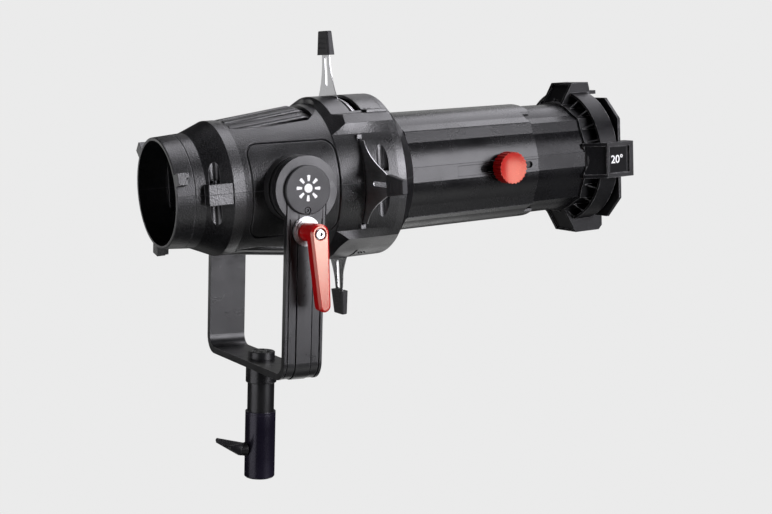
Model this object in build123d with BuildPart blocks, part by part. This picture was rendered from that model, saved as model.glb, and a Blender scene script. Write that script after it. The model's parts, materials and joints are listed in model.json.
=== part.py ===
from build123d import *
import math
import os

# Ellipsoidal spotlight attachment on a yoke, with a rear three-lug bayonet collar.
# Row frame: +Z up, +X the way the light leaves, origin at the mouth of the stand socket.
# Pieces that ride on the housing are drawn level, with the tilt axis at the origin, and are
# tipped nose-up by REST_TILT when they are written. The yoke's pieces are drawn about the
# same point and only lifted.

AXIS_HEIGHT = 361.6          # tilt axis above the mouth of the stand socket
REST_TILT = 4.7              # degrees nose-up in the rest pose

# rear collar, flare and conical body: stations along X and outer radii
RIM_X = -138.0
COLLAR_END_X = -103.0
FLARE_END_X = -74.0
CONE_START_X = -60.0
CONE_END_X = 63.0
RIM_R = 65.0
COLLAR_R = 67.7
CONE_START_R = 80.0
CONE_END_R = 96.0
RIB_HALF = 6.3               # half width of a vent rib

# front body: round roof and belly, faceted corners, and flanks that carry the cone on
ROOF_R = 100.5
FLANK_START_X = 50.0         # the flank carries the cone on, a little proud of it
FLANK_FULL_X = 127.0
FLANK_START_R = 94.8
FLANK_FULL_R = 104.8
CREASE_Z = 57.0
CORNER_Z = 70.0
ROOF_CREASE = (70.0, 80.0)
BODY_END_X = 163.0
PAD_TOP = 12.0               # height of the seam pads, where the shell screws start
REAR_SCREW_X = -93.0
FRONT_SCREW_X = 108.0

# shutters: one plane per blade, front to back stack
BLADE_T = 0.9
PLATE_T = 1.0
PLANE_STEP = 2.9
NEAR_PLANE = 85.5
FAR_PLANE = NEAR_PLANE + PLANE_STEP
TOP_PLANE = FAR_PLANE + PLANE_STEP
BOTTOM_PLANE = TOP_PLANE + PLANE_STEP
GATE_R = 38.0
POST_AT = 58.0

# lens barrel
SLEEVE_R = 74.5
NOSE_R = 70.9
SLIDE_GAP = 0.5
RIDGE_H = 4.5
RIDGE_ANGLES = (31.5, 42.0, 52.5)
SLEEVE_END_X = 352.0
NOSE_START_X = 240.0
NOSE_END_X = 465.0
KNOB_X = 298.0
FOCUS_IN = 30.0
FOCUS_OUT = 40.0
STUD_R = 3.5

# lenses
CONDENSER_R = 72.0
CONDENSER_CURVE_R = 225.0
OBJECTIVE_R = 66.0
OBJECTIVE_CURVE_R = 203.5
OBJECTIVE_T = 14.0
REAR_OBJECTIVE_X = 258.0
FRONT_OBJECTIVE_X = 420.0

# front holder: a collar on the nose tube, a ribbed ring and four brackets
HOLDER_X = 429.0
COLLAR_WALL = 2.8
RING_X = 444.0
RING_END_X = 470.0
RING_R = 88.0
RIB_COUNT = 24
BRACKET_HALF = 23.0
CHEEK = 4.5
SIDE_REACH = 93.0
SIDE_DROP = 2.5              # the side brackets sit this far below the optical axis
BOTTOM_REACH = 103.3
TOP_REACH = 98.3
TOP_END_X = 473.5
BRACKET_END_X = 492.5

# colour frame, its slot, and the latch over it
SLOT_X = 476.5
LIP_X = 483.5
FRAME_X = 477.7
FRAME_T = 4.0
FRAME_HALF = 79.5
FRAME_CORNER = 27.0
FRAME_DROP = 2.5
LATCH_X = 472.9
LATCH_Z = 84.1
LATCH_T = 5.0
LATCH_PIN_R = 1.5

# trunnions, yoke and stem
ARM_INNER_Y = 106.4
ARM_T = 7.5
ARM_FACE_Y = ARM_INNER_Y + ARM_T
ARM_HALF = 24.0
DISC_R = 39.0
DISC_FACE_Y = 104.4
CAP_R = 28.3
CAP_T = 4.3
CAP_SCREW_Z = -23.4
CROSSBAR_TOP = -214.0
STRIP_PROUD = 0.9
CLAMP_Z = -47.5
WASHER_T = 1.5
BUSH_R = 8.0
BOLT_R = 5.0
SOCKET_R = 8.05
SOCKET_DEPTH = 62.0
STEM_R = 18.6
SPIGOT_R = 16.4
SPIGOT_TOP_Z = -243.0
RECEIVER_TOP_Z = -282.0
WING_Z = -325.5

# clamp lever and its screw, outside the near yoke arm
LEVER_HUB_Y = 119.6
STUD_SHOULDER_Y = 133.0
LEVER_ARM_Y = 138.0
LEVER_ARM_T = 13.0
LEVER_LENGTH = 82.0
LEVER_ROOT_R = 11.4
LEVER_TIP_R = 7.4
LEVER_LEAN = 6.0
SCREW_PIN_R = 2.6


def ring(outer, inner, start, end):
    """A plain ring about the optical axis, from start to end along X."""
    with BuildPart() as made:
        with BuildSketch(Plane.YZ.offset(start)):
            Circle(outer)
            Circle(inner, mode=Mode.SUBTRACT)
        extrude(amount=end - start)
    return made.part


def disc(radius, start, end):
    """A plain round bar about the optical axis, from start to end along X."""
    with BuildPart() as made:
        with BuildSketch(Plane.YZ.offset(start)):
            Circle(radius)
        extrude(amount=end - start)
    return made.part


def turned(points):
    """A solid of revolution about the optical axis from (x, radius) points."""
    with BuildPart() as made:
        with BuildSketch(Plane.XZ):
            with BuildLine():
                Polyline(*points, close=True)
            make_face()
        revolve(axis=Axis.X)
    return made.part


def barrel_face(radius):
    """The barrel's section: a circle with four two-facet ridges and two flat side bands."""
    Circle(radius)
    low, top, high = [math.radians(angle) for angle in RIDGE_ANGLES]
    for side in (-1, 1):
        for up in (-1, 1):
            Polygon(
                (side * radius * math.cos(low), up * radius * math.sin(low)),
                (side * (radius + RIDGE_H) * math.cos(top), up * (radius + RIDGE_H) * math.sin(top)),
                (side * radius * math.cos(high), up * radius * math.sin(high)),
                (side * radius * 0.9 * math.cos(top), up * radius * 0.9 * math.sin(top)),
                align=None,
            )
        with Locations((side * (radius - 4.5), 0)):
            Rectangle(10, 19)


# ---------------------------------------------------------------- housing shells
def body_outline(x, flank_r, corner_y):
    """The front body's outline at x, from the belly up one side to the roof, mirrored."""
    crease = (math.sqrt(flank_r**2 - CREASE_Z**2), CREASE_Z)
    foot = (58.0, -math.sqrt(ROOF_R**2 - 58.0**2))
    shoulder = (60.0, math.sqrt(ROOF_R**2 - 60.0**2))
    with BuildSketch(Plane.YZ.offset(x)) as made:
        with BuildLine():
            ThreePointArc((0, -ROOF_R), (ROOF_R * math.sin(0.3), -ROOF_R * math.cos(0.3)), foot)
            Polyline(foot, (corner_y, -CORNER_Z + 2), (crease[0], -CREASE_Z))
            ThreePointArc((crease[0], -CREASE_Z), (flank_r, 0), crease)
            Polyline(crease, (corner_y, CORNER_Z), ROOF_CREASE, shoulder)
            ThreePointArc(shoulder, (ROOF_R * math.sin(0.3), ROOF_R * math.cos(0.3)), (0, ROOF_R))
            mirror(about=Plane.YZ)
        make_face()
    return made.sketch


with BuildPart() as front_form:
    full_outline = body_outline(FLANK_FULL_X, FLANK_FULL_R, 81)
    loft([body_outline(FLANK_START_X, FLANK_START_R, 78), full_outline], ruled=True)
    extrude(full_outline, amount=BODY_END_X - FLANK_FULL_X)
    add(turned([(48, 0), (48, 91.5), (75.5, 107.3), (135, 107.3), (BODY_END_X, 77.5), (BODY_END_X, 0)]),
        mode=Mode.INTERSECT)

with BuildPart() as vent_pocket:
    with BuildSketch(Plane.XY.offset(50)):
        with BuildLine():
            Polyline((-62, 36), (-36, 47), (36, 53))
            ThreePointArc((36, 53), (54, 36), (58, 0))
            mirror(about=Plane.XZ)
            Line((-62, 36), (-62, -36))
        make_face()
    extrude(amount=70)
    # the floor, which steps up to a shallow terrace at its front end
    add(turned([(-64, 0), (-64, 79.6), (-54, 79.6), (47, 85.3), (47, 91.4), (60, 93), (60, 0)]),
        mode=Mode.SUBTRACT)

with BuildPart() as vent_ribs:
    with BuildSketch(Plane.XZ.offset(-RIB_HALF)):
        with BuildLine():
            Polyline((-57, 76), (-57, 80.2), (34, 91.3), (46, 87), (46, 80), (-57, 74), close=True)
        make_face()
    extrude(amount=2 * RIB_HALF)
    fillet(vent_ribs.edges().filter_by(lambda e: abs(e.center().Z - 85.7) < 2 and e.length > 50), 4)

with BuildPart() as casing:
    add(turned([(RIM_X, 0), (RIM_X, RIM_R - 0.8), (RIM_X + 0.8, RIM_R), (COLLAR_END_X, COLLAR_R),
                (FLARE_END_X, CONE_START_R), (CONE_START_X, CONE_START_R), (CONE_END_X, CONE_END_R),
                (70, 90), (70, 0)]))
    add(front_form.part)
    # thin line round the collar
    add(turned([(-116.4, 66.2), (-116.4, 70), (-115.6, 70), (-115.6, 66.2)]), mode=Mode.SUBTRACT)
    # side pads at the seam, through which the rear shell screws pass
    for side in (-1, 1):
        with Locations((-90.5, side * 70, 0)):
            Box(29, 20, 2 * PAD_TOP)
    # vents in the roof and the belly
    for over in (0, 180):
        with Locations(Location((0, 0, 0), (over, 0, 0))):
            add(vent_pocket.part, mode=Mode.SUBTRACT)
        for lean in (-25, -12.5, 0, 12.5, 25):
            with Locations(Location((0, 0, 0), (over + lean, 0, 0))):
                add(vent_ribs.part)
    # grooved rounded panel on each flank
    for side in (-1, 1):
        with BuildPart(mode=Mode.PRIVATE) as panel_groove:
            with BuildSketch(Plane.XZ.offset(side * 40)):
                with Locations((0.5, -1.5)):
                    RectangleRounded(107, 111, 15)
                    RectangleRounded(102.4, 106.4, 12.7, mode=Mode.SUBTRACT)
            extrude(amount=side * 70)
            add(turned([(-75, 0), (-75, 78.4), (-60, 78.4), (63, 94.4), (63, 0)]), mode=Mode.SUBTRACT)
        add(panel_groove.part, mode=Mode.SUBTRACT)
    # hollow: bayonet mouth, condenser bore, lamp cone, gate chamber, barrel seat
    add(turned([(RIM_X - 1, 0), (RIM_X - 1, 61.3), (COLLAR_END_X, 62), (-76, 75.4), (-16, 75.4),
                (-10, 76), (55, 81.6), (72, 88), (77, 88), (77, 64), (82.9, 64), (82.9, 92), (127, 92),
                (140, 84), (140, 82), (145.4, 82), (145.4, 74.5), (BODY_END_X + 1, 74.5),
                (BODY_END_X + 1, 0)]),
        mode=Mode.SUBTRACT)
    # bosses inside the flare, behind the rear screw channels
    for side in (-1, 1):
        with BuildPart(mode=Mode.PRIVATE) as boss:
            with Locations((REAR_SCREW_X, side * 64.5, 0)):
                Box(15, 13, 84)
            add(turned([(COLLAR_END_X, 0), (COLLAR_END_X, COLLAR_R - 0.5), (FLARE_END_X, CONE_START_R - 0.5),
                        (FLARE_END_X, 0)]), mode=Mode.INTERSECT)
        add(boss.part)
    # upright channels for the shell screws, above and below the seam
    for side in (-1, 1):
        for up in (-1, 1):
            with Locations((REAR_SCREW_X, side * 68.8, up * (PAD_TOP + 25))):
                Cylinder(6, 50, mode=Mode.SUBTRACT)
            with Locations((FRONT_SCREW_X, side * 100.2, up * (PAD_TOP + 30))):
                Cylinder(7.2, 60, mode=Mode.SUBTRACT)
    # roof opening over the shutters and the pattern slot, closed in front by the slot cover
    with Locations((112.1, 0, 92)):
        Box(44.4, 114, 24, mode=Mode.SUBTRACT)
    with Locations((120, 0, 90.1)):
        Box(28.2, 141, 20, mode=Mode.SUBTRACT)
    # slots for the side and bottom blades
    for plane_x, side in ((NEAR_PLANE, -1), (FAR_PLANE, 1)):
        with Locations((plane_x, side * 92, 0)):
            Box(2.8, 40, 102, mode=Mode.SUBTRACT)
        for up in (-1, 1):
            with Locations((plane_x, side * 84.5, up * 53.5)):
                Box(6.4, 5.6, 5)
    with Locations((BOTTOM_PLANE, 0, -92)):
        Box(2.8, 104, 40, mode=Mode.SUBTRACT)
    # short slanted vents low on each flank, in front of the bottom blade
    for side in (-1, 1):
        for step in range(3):
            with Locations(Location((101 + 4 * step, 0, 0), (side * -155, 0, 0))):
                with Locations(Location((0, 0, ROOF_R - 1), (0, 0, 35))):
                    Box(1.7, 9, 4, mode=Mode.SUBTRACT)
    # three bayonet lugs on the collar
    for lug_angle in (44, 164, 284):
        with Locations(Location((-127, 0, 0), (lug_angle, 0, 0))):
            with Locations((-6, 69.5, 0)):
                Box(10, 12, 14)
            with Locations((-4, 69, -4)):
                Box(14, 11, 6)
    add(turned([(RIM_X - 1, 0), (RIM_X - 1, 61.3), (COLLAR_END_X, 62), (-104, 0)]), mode=Mode.SUBTRACT)

with BuildPart() as upper_shell:
    add(casing.part)
    split(bisect_by=Plane.XY, keep=Keep.TOP)

with BuildPart() as lower_shell:
    add(casing.part)
    split(bisect_by=Plane.XY, keep=Keep.BOTTOM)

# screw heads that sit in the upright channels, on the seam pads
with BuildPart() as shell_screws:
    for side in (-1, 1):
        for x, y in ((REAR_SCREW_X, 68.8), (FRONT_SCREW_X, 97)):
            with Locations((x, side * y, PAD_TOP)):
                Cylinder(2.9, 3.6, align=(Align.CENTER, Align.CENTER, Align.MIN))
                with Locations((0, 0, 2)):
                    Cylinder(1.4, 4, align=(Align.CENTER, Align.CENTER, Align.MIN), mode=Mode.SUBTRACT)

with BuildPart() as cover_screws:
    for side in (-1, 1):
        for x in (111, 117):
            with Locations(Location((x, 0, 0), (side * 34, 0, 0))):
                with Locations((0, 0, ROOF_R - 2.6)):
                    Cylinder(1.9, 3.6, align=(Align.CENTER, Align.CENTER, Align.MIN))

with BuildPart() as slot_cover:
    with BuildSketch(Plane.YZ.offset(106.2)):
        Circle(ROOF_R + 0.2)
        Circle(ROOF_R - 3.4, mode=Mode.SUBTRACT)
        with Locations((0, 80.6)):
            Rectangle(113, 60, align=(Align.CENTER, Align.MIN), mode=Mode.INTERSECT)
        for side in (-1, 1):
            with Locations((side * 62.4, 80.2)):
                Rectangle(15, 3.6, align=(Align.CENTER, Align.MIN))
    extrude(amount=27.6)
    add(cover_screws.part, mode=Mode.SUBTRACT)

# ---------------------------------------------------------------- condenser and gate
with BuildPart() as condenser_cell:
    add(ring(75.2, 72.2, -70, -18))
    add(ring(72.2, 67, -46, -42))

with BuildPart() as condenser_rear_lens:
    add(disc(CONDENSER_R, -62, -46.2))
    with Locations((-62 + CONDENSER_CURVE_R, 0, 0)):
        Sphere(CONDENSER_CURVE_R, mode=Mode.INTERSECT)

with BuildPart() as condenser_front_lens:
    add(disc(CONDENSER_R, -41.8, -26))
    with Locations((-26 - CONDENSER_CURVE_R, 0, 0)):
        Sphere(CONDENSER_CURVE_R, mode=Mode.INTERSECT)

with BuildPart() as condenser_retainers:
    add(ring(72, 66, -68, -64.5))
    add(ring(72, 66, -23.5, -20))

rear_gate_x = NEAR_PLANE - BLADE_T / 2 - 0.5 - 1.5
front_gate_x = BOTTOM_PLANE + BLADE_T / 2 + 0.5


def gate_plate(start, thickness, top_radius):
    """A round plate with the gate aperture, post holes and a tongue that shows in the roof."""
    with BuildPart() as made:
        with BuildSketch(Plane.YZ.offset(start)):
            Circle(90.5)
            if top_radius > 90.5:
                with BuildSketch(mode=Mode.PRIVATE) as tongue:
                    Circle(top_radius)
                    with Locations((0, 80.3)):
                        Rectangle(108, 60, align=(Align.CENTER, Align.MIN), mode=Mode.INTERSECT)
                add(tongue.sketch)
            Circle(GATE_R, mode=Mode.SUBTRACT)
            with GridLocations(2 * POST_AT, 2 * POST_AT, 2, 2):
                Circle(2.6, mode=Mode.SUBTRACT)
        extrude(amount=thickness)
    return made.part


with BuildPart() as gate_rear_plate:
    add(gate_plate(rear_gate_x, 1.5, 90))

with BuildPart() as shutter_separators:
    for plane_x in (NEAR_PLANE, FAR_PLANE, TOP_PLANE):
        add(gate_plate(plane_x + PLANE_STEP / 2 - PLATE_T / 2, PLATE_T, 90))

with BuildPart() as gate_front_plate:
    add(gate_plate(front_gate_x, 1.5, 98.6))

with BuildPart() as pattern_slot_plate:
    add(gate_plate(98.6, 0.8, 97.6))

with BuildPart() as gate_spacers:
    gaps = [(rear_gate_x + 1.5, NEAR_PLANE + PLANE_STEP / 2 - PLATE_T / 2)]
    for plane_x in (FAR_PLANE, TOP_PLANE):
        gaps.append((plane_x - PLANE_STEP / 2 + PLATE_T / 2, plane_x + PLANE_STEP / 2 - PLATE_T / 2))
    gaps.append((BOTTOM_PLANE - PLANE_STEP / 2 + PLATE_T / 2, front_gate_x))
    gaps.append((front_gate_x + 1.5, 98.6))
    for start, end in gaps:
        with BuildSketch(Plane.YZ.offset(start)):
            with GridLocations(2 * POST_AT, 2 * POST_AT, 2, 2):
                Circle(4.6)
                Circle(2.6, mode=Mode.SUBTRACT)
        extrude(amount=end - start)

with BuildPart() as gate_screws:
    with BuildSketch(Plane.YZ.offset(78)):
        with GridLocations(2 * POST_AT, 2 * POST_AT, 2, 2):
            Circle(2.5)
    extrude(amount=21.4)
    with BuildSketch(Plane.YZ.offset(99.4)):
        with GridLocations(2 * POST_AT, 2 * POST_AT, 2, 2):
            Circle(4.4)
    extrude(amount=3)

# the screws thread into the casing's gate flange
for shell in (upper_shell, lower_shell):
    with shell:
        with BuildSketch(Plane.YZ.offset(76.5)):
            with GridLocations(2 * POST_AT, 2 * POST_AT, 2, 2):
                Circle(2.5)
        extrude(amount=8, mode=Mode.SUBTRACT)


# ---------------------------------------------------------------- shutter blades and grips
def blade_solid(plane_x, flank, shoulder_at, grip_at):
    """A shutter blade pointing up: straight gate edge, wide body, flared neck, long eye."""
    with BuildPart() as made:
        with BuildSketch(Plane.YZ.offset(plane_x - BLADE_T / 2)):
            with BuildLine():
                Polyline((49, shoulder_at), (49, GATE_R + 0.5), (-49, GATE_R + 0.5), (-49, shoulder_at))
                for side in (-1, 1):
                    Spline((side * 49, shoulder_at), *[(side * y, z) for y, z in flank],
                           (side * 9.5, grip_at))
                Polyline((9.5, grip_at), (8, grip_at + 14), (-8, grip_at + 14), (-9.5, grip_at))
            make_face()
            with Locations((0, grip_at - 20)):
                SlotOverall(36, 5.6, rotation=90, mode=Mode.SUBTRACT)
        extrude(amount=BLADE_T)
    return made.part


def grip_solid(plane_x, grip_at, base_half, tip_half, length):
    """A tapered moulded grip over the end of a blade that points up."""
    with BuildPart() as made:
        for reach, half, thick in ((0, base_half, 9.4), (length, tip_half, 7.6)):
            with BuildSketch(Plane((plane_x, 0, grip_at + reach), x_dir=(1, 0, 0), z_dir=(0, 0, 1))):
                RectangleRounded(thick, 2 * half, 2.4)
        loft()
        fillet(made.faces().sort_by(Axis.Z)[-1].edges(), 1.4)
        for side in (-1, 1):
            for step in range(3):
                groove_z = grip_at + length * (0.3 + 0.2 * step)
                with Locations((plane_x + side * 4.6, 0, groove_z)):
                    Box(1.6, 1.1 * base_half, 1.8, mode=Mode.SUBTRACT)
    return made.part


# blade plane, turn about the optical axis, flank points, shoulder, grip start, widths, length
SHUTTERS = {
    "near": (NEAR_PLANE, 90, [(34, 110), (20, 133)], 98, 155, 12.8, 8.2, 34),
    "far": (FAR_PLANE, -90, [(34, 110), (20, 133)], 98, 155, 12.8, 8.2, 34),
    "top": (TOP_PLANE, 0, [(25, 98), (14, 122)], 74, 150, 15.5, 12.0, 29),
    "bottom": (BOTTOM_PLANE, 180, [(27, 94), (16, 112)], 74, 142, 15.0, 11.5, 30),
}
shutter_parts = {}
for name, (plane_x, turn, flank, shoulder_at, grip_at, base_half, tip_half, length) in SHUTTERS.items():
    flat_blade = blade_solid(plane_x, flank, shoulder_at, grip_at)
    flat_grip = grip_solid(plane_x, grip_at, base_half, tip_half, length)
    with BuildPart() as blade:
        with Locations(Location((0, 0, 0), (turn, 0, 0))):
            add(flat_blade)
    with BuildPart() as grip:
        with Locations(Location((0, 0, 0), (turn, 0, 0))):
            add(flat_grip)
        add(blade.part, mode=Mode.SUBTRACT)
    shutter_parts[name + "_shutter_blade"] = blade
    shutter_parts[name + "_shutter_grip"] = grip

# ---------------------------------------------------------------- lens barrel
with BuildPart() as sleeve_humps:
    with BuildSketch(Plane.XZ.offset(-36)):
        for up in (-1, 1):
            Polygon((SLEEVE_END_X - 2, up * 50), (SLEEVE_END_X + 14, up * 50), (SLEEVE_END_X + 14, up * 71),
                    (SLEEVE_END_X + 8, up * 78), (SLEEVE_END_X - 2, up * 78), align=None)
    extrude(amount=72)
    add(disc(SLEEVE_R, 140, SLEEVE_END_X + 20), mode=Mode.INTERSECT)

with BuildPart() as barrel_sleeve:
    with BuildSketch(Plane.YZ.offset(140.4)):
        Circle(81.6)
    extrude(amount=4.8)
    with BuildSketch(Plane.YZ.offset(145.2)):
        Circle(SLEEVE_R - 0.1)
    extrude(amount=BODY_END_X + 0.6 - 145.2)
    with BuildSketch(Plane.YZ.offset(BODY_END_X + 0.6)):
        barrel_face(SLEEVE_R)
    extrude(amount=SLEEVE_END_X - BODY_END_X - 0.6)
    # roof and belly of the sleeve reach a little further forward, with a sloped end
    add(sleeve_humps.part)
    with BuildSketch(Plane.YZ.offset(140)):
        barrel_face(NOSE_R + SLIDE_GAP)
    extrude(amount=SLEEVE_END_X + 20 - 140, mode=Mode.SUBTRACT)
    # a fine groove along each ridge
    for side in (-1, 1):
        for up in (-1, 1):
            turn = math.degrees(math.atan2(up * math.sin(math.radians(RIDGE_ANGLES[1])),
                                           side * math.cos(math.radians(RIDGE_ANGLES[1]))))
            with Locations(Location((0, 0, 0), (turn, 0, 0))):
                with Locations(((BODY_END_X + SLEEVE_END_X) / 2, SLEEVE_R + RIDGE_H, 0)):
                    Box(SLEEVE_END_X - BODY_END_X + 4, 2.2, 1.3, mode=Mode.SUBTRACT)
    # sunk focus track with its through slot, on the near side
    with Locations((291, -(SLEEVE_R + 0.5), 0)):
        Box(124, 1.8, 13, mode=Mode.SUBTRACT)
    with BuildSketch(Plane.XZ.offset(60)):
        with Locations((KNOB_X + (FOCUS_OUT - FOCUS_IN) / 2, 0)):
            SlotOverall(FOCUS_IN + FOCUS_OUT + 2 * STUD_R + 2, 2 * STUD_R + 1.2)
    extrude(amount=30, mode=Mode.SUBTRACT)

with BuildPart() as nose_tube:
    with BuildSketch(Plane.YZ.offset(NOSE_START_X)):
        barrel_face(NOSE_R)
        Circle(66.2, mode=Mode.SUBTRACT)
    extrude(amount=NOSE_END_X - NOSE_START_X)
    with Locations(Location((KNOB_X, -70, 0), (90, 0, 0))):
        Cylinder(STUD_R + 0.1, 14, mode=Mode.SUBTRACT)

with BuildPart() as objective_rear_lens:
    add(disc(OBJECTIVE_R, REAR_OBJECTIVE_X, REAR_OBJECTIVE_X + OBJECTIVE_T))
    with Locations((REAR_OBJECTIVE_X + OBJECTIVE_CURVE_R, 0, 0)):
        Sphere(OBJECTIVE_CURVE_R, mode=Mode.INTERSECT)
with BuildPart() as objective_front_lens:
    add(disc(OBJECTIVE_R, FRONT_OBJECTIVE_X, FRONT_OBJECTIVE_X + OBJECTIVE_T))
    with Locations((FRONT_OBJECTIVE_X + OBJECTIVE_T - OBJECTIVE_CURVE_R, 0, 0)):
        Sphere(OBJECTIVE_CURVE_R, mode=Mode.INTERSECT)
with BuildPart() as objective_rings:
    for lens_x in (REAR_OBJECTIVE_X, FRONT_OBJECTIVE_X):
        add(ring(OBJECTIVE_R + 0.1, OBJECTIVE_R - 4.5, lens_x - 6, lens_x - 2))
        seat_x = lens_x + OBJECTIVE_T + 0.4
        add(ring(OBJECTIVE_R + 0.1, OBJECTIVE_R - 4.5, seat_x, seat_x + 4))

with BuildPart() as focus_nut:
    with Locations(Location((KNOB_X, -63.6, 0), (90, 0, 0))):
        Box(20, 14, 4)
        Cylinder(STUD_R, 8, mode=Mode.SUBTRACT)

with BuildPart() as focus_stud:
    with Locations(Location((KNOB_X, -61.8, 0), (90, 0, 0))):
        Cylinder(STUD_R - 0.05, 24, align=(Align.CENTER, Align.CENTER, Align.MIN))

with BuildPart() as focus_knob:
    with BuildSketch(Plane.XZ.offset(SLEEVE_R + 1.2)):
        with Locations((KNOB_X, 0)):
            Circle(11)
    extrude(amount=3.4)
    with BuildSketch(Plane.XZ.offset(SLEEVE_R + 4.6)):
        with Locations((KNOB_X, 0)):
            Circle(20)
            with PolarLocations(20.4, 24):
                Circle(1.5, mode=Mode.SUBTRACT)
    extrude(amount=17)
    with Locations((KNOB_X, -(SLEEVE_R + 21.6 + 96.5), 0)):
        Sphere(98.5, mode=Mode.SUBTRACT)
    add(focus_stud.part, mode=Mode.SUBTRACT)

# ---------------------------------------------------------------- front holder
def sunk_back(foot, crest):
    """What is cut from a bracket's sloped back, between its two cheeks."""
    run = (crest[0] - foot[0], crest[1] - foot[1])
    middle = ((crest[0] + foot[0]) / 2, 0, (crest[1] + foot[1]) / 2)
    with BuildPart() as made:
        with Locations(Location(middle, (0, -math.degrees(math.atan2(run[1], run[0])), 0))):
            Box(math.hypot(*run) - 3, 2 * (BRACKET_HALF - CHEEK), 5)
    return made.part


def bracket_solid(foot, crest, outline):
    """One bracket pointing up: its outline, with the sloped back sunk between two cheeks."""
    with BuildPart() as made:
        with BuildSketch(Plane.XZ.offset(-BRACKET_HALF)):
            with BuildLine():
                Polyline((foot[0], 66), foot, crest, *outline, (RING_END_X, 66), close=True)
            make_face()
        extrude(amount=2 * BRACKET_HALF)
        add(sunk_back(foot, crest), mode=Mode.SUBTRACT)
        # round scoop at the foot, between the cheeks
        with Locations((foot[0] - 16.5, 0, 85)):
            Cylinder(24, 50, mode=Mode.SUBTRACT)
    return made.part


def framed_outline(reach, slot_reach, corner):
    """The front half of a bracket that holds the frame: outer face, lip and slot."""
    return [(BRACKET_END_X - corner, reach), (BRACKET_END_X, reach - corner - 0.2), (BRACKET_END_X, 74),
            (LIP_X, 74), (LIP_X, slot_reach), (SLOT_X, slot_reach), (SLOT_X, 74), (RING_END_X, 74)]


SIDE_FOOT = (HOLDER_X - 4, 72)
SIDE_CREST = (449, SIDE_REACH)
side_bracket = bracket_solid(SIDE_FOOT, SIDE_CREST, framed_outline(SIDE_REACH, FRAME_HALF + 1.1, 0.6))
bottom_bracket = bracket_solid((HOLDER_X, 69.5), (448, BOTTOM_REACH),
                               framed_outline(BOTTOM_REACH, FRAME_HALF + FRAME_DROP + 0.4, 5.5))
top_bracket = bracket_solid((HOLDER_X, 69.5), (447, TOP_REACH),
                            [(TOP_END_X, TOP_REACH), (475.6, 90), (475.6, 80.6), (RING_END_X, 80.6)])

with BuildPart() as holder_rib:
    with BuildSketch(Plane.XZ.offset(-0.7)):
        Polygon((HOLDER_X + 1, 71), (RING_X + 0.5, RING_R - 2), (RING_END_X - 2, RING_R - 2),
                (RING_END_X - 2, 71), align=None)
    extrude(amount=1.4)

with BuildPart() as holder_screws:
    for turn in (45, 135, 225, 315):
        with Locations(Location((0, 0, 0), (turn, 0, 0))):
            with Locations((449, 0, 68)):
                Cylinder(1.6, 8, align=(Align.CENTER, Align.CENTER, Align.MIN))

WINDOW_START_X = 452.5
WINDOW_END_X = 485.5
WINDOW_HALF = 17.5
with BuildPart() as front_holder:
    add(ring(RING_R, RING_R - 3.6, RING_X, RING_END_X))
    with BuildSketch(Plane.YZ.offset(HOLDER_X)):
        barrel_face(NOSE_R + COLLAR_WALL)
    extrude(amount=RING_END_X - HOLDER_X)
    with BuildSketch(Plane.YZ.offset(RING_END_X - 2.6)):
        Circle(RING_R - 1)
    extrude(amount=2.6)
    for index in range(RIB_COUNT):
        with Locations(Location((0, 0, 0), (13 + index * 360 / RIB_COUNT, 0, 0))):
            add(holder_rib.part)
    add(top_bracket)
    with Locations(Location((0, 0, 0), (180, 0, 0))):
        add(bottom_bracket)
    for turn in (90, -90):
        with Locations(Location((0, 0, -SIDE_DROP), (turn, 0, 0))):
            add(side_bracket)
            add(sunk_back(SIDE_FOOT, SIDE_CREST), mode=Mode.SUBTRACT)
    # windows in the side brackets, sunk for the angle plates
    for side in (-1, 1):
        with Locations(((WINDOW_START_X + WINDOW_END_X) / 2, side * SIDE_REACH, -SIDE_DROP)):
            Box(WINDOW_END_X - WINDOW_START_X, 5.2, 2 * WINDOW_HALF, mode=Mode.SUBTRACT)
    # notch for the latch between the top bracket's cheeks, with its pin hole
    with Locations((RING_END_X + 5.2, 0, 90)):
        Box(10, 40, 20, mode=Mode.SUBTRACT)
    with Locations(Location((LATCH_X, 0, LATCH_Z), (90, 0, 0))):
        Cylinder(LATCH_PIN_R, 60, mode=Mode.SUBTRACT)
    # bore for the nose tube, light opening in front
    with BuildSketch(Plane.YZ.offset(400)):
        barrel_face(NOSE_R + 0.02)
    extrude(amount=NOSE_END_X + 0.2 - 400, mode=Mode.SUBTRACT)
    add(disc(64, NOSE_END_X - 1, RING_END_X + 1), mode=Mode.SUBTRACT)
    add(holder_screws.part, mode=Mode.SUBTRACT)

with nose_tube:
    add(holder_screws.part, mode=Mode.SUBTRACT)

with BuildPart() as angle_plate:
    with Locations(((WINDOW_START_X + WINDOW_END_X) / 2 - 1.8, -(SIDE_REACH - 2), -SIDE_DROP)):
        Box(WINDOW_END_X - WINDOW_START_X - 4.4, 1.2, 2 * WINDOW_HALF - 2.4)

with BuildPart() as frame_latch:
    with BuildSketch(Plane.XZ.offset(-19.5)):
        with Locations((LATCH_X, LATCH_Z)):
            Circle(LATCH_T / 2)
            Rectangle(16.6, LATCH_T, align=(Align.MIN, Align.CENTER))
            Circle(LATCH_PIN_R + 0.05, mode=Mode.SUBTRACT)
    extrude(amount=39)
    fillet(frame_latch.faces().sort_by(Axis.X)[-1].edges(), 1.2)

with BuildPart() as latch_pin:
    with Locations(Location((LATCH_X, 0, LATCH_Z), (90, 0, 0))):
        Cylinder(LATCH_PIN_R, 2 * BRACKET_HALF)

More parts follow.
